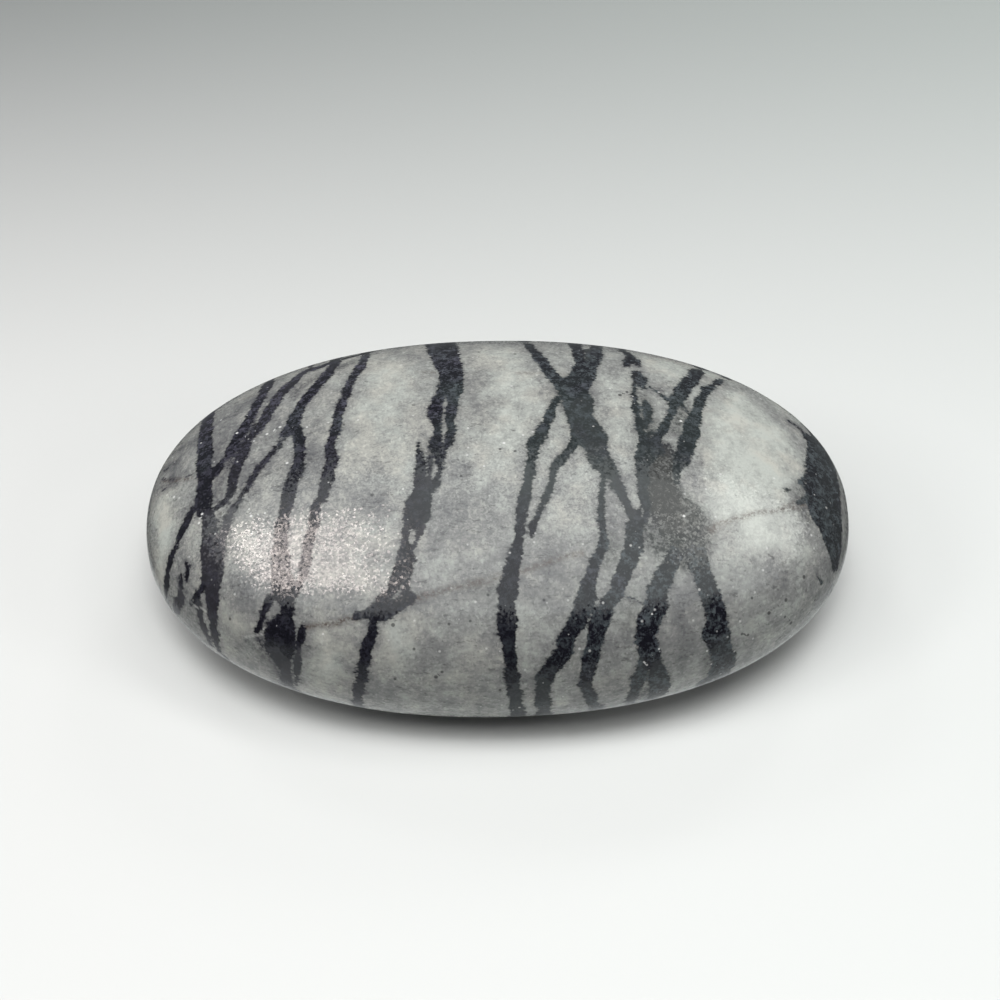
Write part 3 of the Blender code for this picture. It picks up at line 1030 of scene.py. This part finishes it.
def jasper():
    """Polished jasper: cloudy grey crystalline ground, ragged dark veins, sparkling grain."""
    material = bpy.data.materials.new("jasper")
    material.use_nodes = True
    graph = Graph(material.node_tree)
    shader = material.node_tree.nodes["Principled BSDF"]
    place = graph.scaled(graph.add("ShaderNodeTexCoord").outputs["Object"], (1 / MM, 1 / MM, 1 / MM))
    along = graph.add("ShaderNodeSeparateXYZ", {"Vector": place}).outputs
    side = graph.math("ADD", graph.fit(along[0], *SIDE_RAMP), graph.wave(place, *SIDE_WAVE))
    grain_colour, _ = graph.cells(place, GRAIN_SIZE)
    grain = graph.channels(grain_colour)

    ground = ground_colour(graph, place, along, side)
    depth = ragged_depth(graph, place)
    inside = graph.fit(depth, *INSIDE_RAMP, smooth=True)
    halo = graph.fit(depth, *HALO_RAMP, smooth=True)
    colour = smoked(graph, place, side, grain[1], halo, ground)
    colour = graph.mix(inside, colour, ink_colour(graph, place, along, side, grain[0]))
    graph.feed(shader.inputs["Base Color"], dotted(graph, place, colour))

    # Polish: smooth, with duller grains, each a little tilted, that sparkle where a lamp shows.
    graph.feed(shader.inputs["Roughness"], graph.fit(grain[2], *ROUGHNESS_RAMP))
    graph.feed(shader.inputs["Normal"], tilted_normal(graph, grain_colour))
    return material


stone.data.materials.append(jasper())
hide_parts("stone")
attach(stone, "root")


# ---------------------------------------------------------------------------------------------
# Studio
FLOOR_SIZE = 3.0
# The floor's colour in front and far behind, at the left and at the right. The far colours are
# painted shade: the floor darkens behind the stone, more at the left than at the right.
FLOOR_NEAR_COLOURS = ((0.269, 0.270, 0.265, 1), (0.270, 0.277, 0.271, 1))
FLOOR_FAR_SHADED_COLOURS = ((0.093, 0.0978, 0.0962, 1), (0.158, 0.172, 0.165, 1))
FLOOR_SHADE_FADE = (0.010, 0.125)      # from the near colour to the far one, along Y
FLOOR_SPREAD = (-0.06, 0.06)     # from the left colour to the right one, along X
FLOOR_ROUGHNESS = 0.9
# The surroundings, in front and behind.
FRONT_COLOUR = (0.06, 0.06, 0.066, 1)
BEHIND_COLOUR = (0.12, 0.126, 0.126, 1)
# What the polish shows of the floor: in front, behind, and steeply down at the sides.
FRONT_FLOOR_COLOUR = (0.36, 0.385, 0.39, 1)
BEHIND_FLOOR_COLOUR = (0.10, 0.106, 0.106, 1)
SIDE_FLOOR_COLOUR = (0.46, 0.48, 0.48, 1)
# From one to the next, over the parts of a direction.
BEHIND_RAMP = (-0.4, 0.6)        # over Y, from in front to behind
BELOW_RAMP = (-0.03, -0.25)      # over Z, from the surroundings to the floor
BESIDE_RAMP = (0.01, 0.12)       # over X either way, to the floor at the sides
STEEP_RAMP = (-0.60, -0.72)      # over Z, to the floor at the sides
# Overhead panels: low and high corner as slopes x/z and y/z from the stone, height, radiance and
# colour.
CEILING = ((-1.35, -0.68), (2.0, 0.85), 0.56, 1.4, (0.95, 1.0, 0.99))
LEFT_LAMP = ((-0.97, -0.28), (-0.27, 0.47), 0.50, 0.5, (1.0, 0.93, 0.90))
LEFT_LAMP_WEST = ((-0.97, -0.28), (-0.62, 0.47), 0.48, 15.9, (1.0, 0.885, 0.825))
LEFT_LAMP_EAST = ((-0.62, -0.28), (-0.27, 0.47), 0.48, 11.1, (1.0, 0.875, 0.815))
RIGHT_LAMP = ((0.48, -0.02), (2.0, 0.84), 0.50, 0.5, (1.0, 0.99, 0.92))
RIGHT_LAMP_SLATS = ((0.48, -0.02), (2.0, 0.84), 0.48, 2.6, (1.0, 0.99, 0.90))
SLAT_PITCH = 0.15                # from one bright strip of a lamp to the next, as a slope
# The lamp that lights the stone: elevation and azimuth (0 is in front) in degrees and radiance.
KEY_LAMP = (85, 180, 10.0)
KEY_LAMP_SIZE = 0.35
# The lamps that light the floor: elevation and azimuth, and the share of the floor's light. A
# program that fitted the floor's shadow to the photo's gave all but the back left lamp, which was
# added. The shares of the front, near left, high and back right lamps were then changed.
FLOOR_LAMPS = {
    "floor_lamp_front": (58, 0, 0.225),
    "floor_lamp_front_left": (66, -15, 0.190),
    "floor_lamp_front_right": (66, 15, 0.120),
    "floor_lamp_near_left": (58, -45, 0.092),
    "floor_lamp_left": (42, -60, 0.084),
    "floor_lamp_right": (58, 60, 0.058),
    "floor_lamp_low_right": (34, 60, 0.047),
    "floor_lamp_high": (74, 60, 0.060),
    "floor_lamp_back_right": (42, 150, 0.030),
    "floor_lamp_back_left": (50, -140, 0.034),
}
FLOOR_LAMP_SIZE = 0.15
FLOOR_LIGHT = 11.0               # what they give together, per unit of level floor
LAMP_DISTANCE = 0.6


def make_floor():
    """A wide pale floor, with painted shade that greys it off behind the stone."""
    shape = bmesh.new()
    bmesh.ops.create_grid(shape, x_segments=1, y_segments=1, size=FLOOR_SIZE)
    mesh = bpy.data.meshes.new("floor")
    shape.to_mesh(mesh)
    shape.free()
    material = bpy.data.materials.new("floor")
    material.use_nodes = True
    graph = Graph(material.node_tree)
    shader = material.node_tree.nodes["Principled BSDF"]
    place = graph.add("ShaderNodeTexCoord").outputs["Object"]
    parts = graph.add("ShaderNodeSeparateXYZ", {"Vector": place}).outputs
    # Painted shade: from the near colour to the darker far one behind the stone.
    fade = graph.fit(parts[1], *FLOOR_SHADE_FADE, smooth=True)
    spread = graph.fit(parts[0], *FLOOR_SPREAD)
    near_colour = graph.mix(spread, *FLOOR_NEAR_COLOURS)
    far_shaded_colour = graph.mix(spread, *FLOOR_FAR_SHADED_COLOURS)
    colour = graph.mix(fade, near_colour, far_shaded_colour)
    graph.feed(shader.inputs["Base Color"], colour)
    shader.inputs["Roughness"].default_value = FLOOR_ROUGHNESS
    shader.inputs["Specular IOR Level"].default_value = 0.0
    mesh.materials.append(material)
    floor = bpy.data.objects.new("floor", mesh)
    bpy.context.collection.objects.link(floor)
    floor.visible_glossy = False
    return floor


def make_light(name, size, radiance):
    """A soft rectangular light, facing down where it is made."""
    data = bpy.data.lights.new(name, "AREA")
    data.shape = "RECTANGLE"
    data.size, data.size_y = size
    data.energy = radiance * math.pi * data.size * data.size_y
    light = bpy.data.objects.new(name, data)
    bpy.context.collection.objects.link(light)
    return light


def make_panel(name, low, high, height, radiance, colour):
    """An overhead panel between two slopes from the stone, that shows in the polish alone."""
    size = ((high[0] - low[0]) * height, (high[1] - low[1]) * height)
    panel = make_light(name, size, radiance)
    panel.location = ((low[0] + high[0]) / 2 * height, (low[1] + high[1]) / 2 * height, height)
    panel.visible_diffuse = False
    panel.data.color = colour


def make_slats(name, low, high, *rest):
    """Bright strips across the place of a panel, with gaps of their own width between them."""
    count = round((high[1] - low[1]) / SLAT_PITCH)
    pitch = (high[1] - low[1]) / count
    for index in range(count):
        start = low[1] + pitch * index
        make_panel(f"{name}_{index}", (low[0], start), (high[0], start + pitch / 2), *rest)


def make_lamp(name, elevation, azimuth, size, radiance):
    """A square lamp that aims at the stone and has no reflection of its own."""
    lamp = make_light(name, (size, size), radiance)
    rise = math.radians(elevation)
    turn = math.radians(azimuth)
    away = Vector((math.sin(turn) * math.cos(rise), -math.cos(turn) * math.cos(rise), math.sin(rise)))
    lamp.location = away * LAMP_DISTANCE
    lamp.rotation_euler = away.to_track_quat("Z", "Y").to_euler()
    lamp.visible_glossy = False
    return lamp


def make_floor_lamp(name, elevation, azimuth, share):
    """A lamp that gives the floor its share of the light, and lights nothing else."""
    facing = math.sin(math.radians(elevation)) * (FLOOR_LAMP_SIZE / LAMP_DISTANCE) ** 2
    lamp = make_lamp(name, elevation, azimuth, FLOOR_LAMP_SIZE, share * FLOOR_LIGHT / facing)
    light_only(lamp, floor)


def light_only(lamp, target):
    """Keep the lamp's light to one object."""
    lit = bpy.data.collections.new(lamp.name + "_target")
    lit.objects.link(target)
    lamp.light_linking.receiver_collection = lit


def make_world():
    """Dim surroundings: dark in front of the stone, grey behind it."""
    world = bpy.data.worlds.new("studio")
    bpy.context.scene.world = world
    world.use_nodes = True
    graph = Graph(world.node_tree)
    sky = world.node_tree.nodes["Background"]
    way = graph.add("ShaderNodeTexCoord").outputs["Generated"]
    parts = graph.add("ShaderNodeSeparateXYZ", {"Vector": way}).outputs
    behind = graph.fit(parts[1], *BEHIND_RAMP, smooth=True)
    colour = graph.mix(behind, FRONT_COLOUR, BEHIND_COLOUR)
    below = graph.fit(parts[2], *BELOW_RAMP, smooth=True)
    below_colour = graph.mix(behind, FRONT_FLOOR_COLOUR, BEHIND_FLOOR_COLOUR)
    beside = graph.fit(graph.math("ABSOLUTE", parts[0]), *BESIDE_RAMP, smooth=True)
    beside = graph.math("MULTIPLY", beside, graph.fit(parts[2], *STEEP_RAMP, smooth=True))
    below_colour = graph.mix(beside, below_colour, SIDE_FLOOR_COLOUR)
    graph.feed(sky.inputs["Color"], graph.mix(below, colour, below_colour))


make_camera()
floor = make_floor()
make_world()
make_panel("ceiling", *CEILING)
make_panel("left_lamp", *LEFT_LAMP)
make_slats("left_lamp_west", *LEFT_LAMP_WEST)
make_slats("left_lamp_east", *LEFT_LAMP_EAST)
make_panel("right_lamp", *RIGHT_LAMP)
make_slats("right_lamp_slat", *RIGHT_LAMP_SLATS)
elevation, azimuth, radiance = KEY_LAMP
light_only(make_lamp("key_lamp", elevation, azimuth, KEY_LAMP_SIZE, radiance), stone)
for name, (elevation, azimuth, share) in FLOOR_LAMPS.items():
    make_floor_lamp(name, elevation, azimuth, share)
bpy.context.scene.view_settings.view_transform = "Standard"
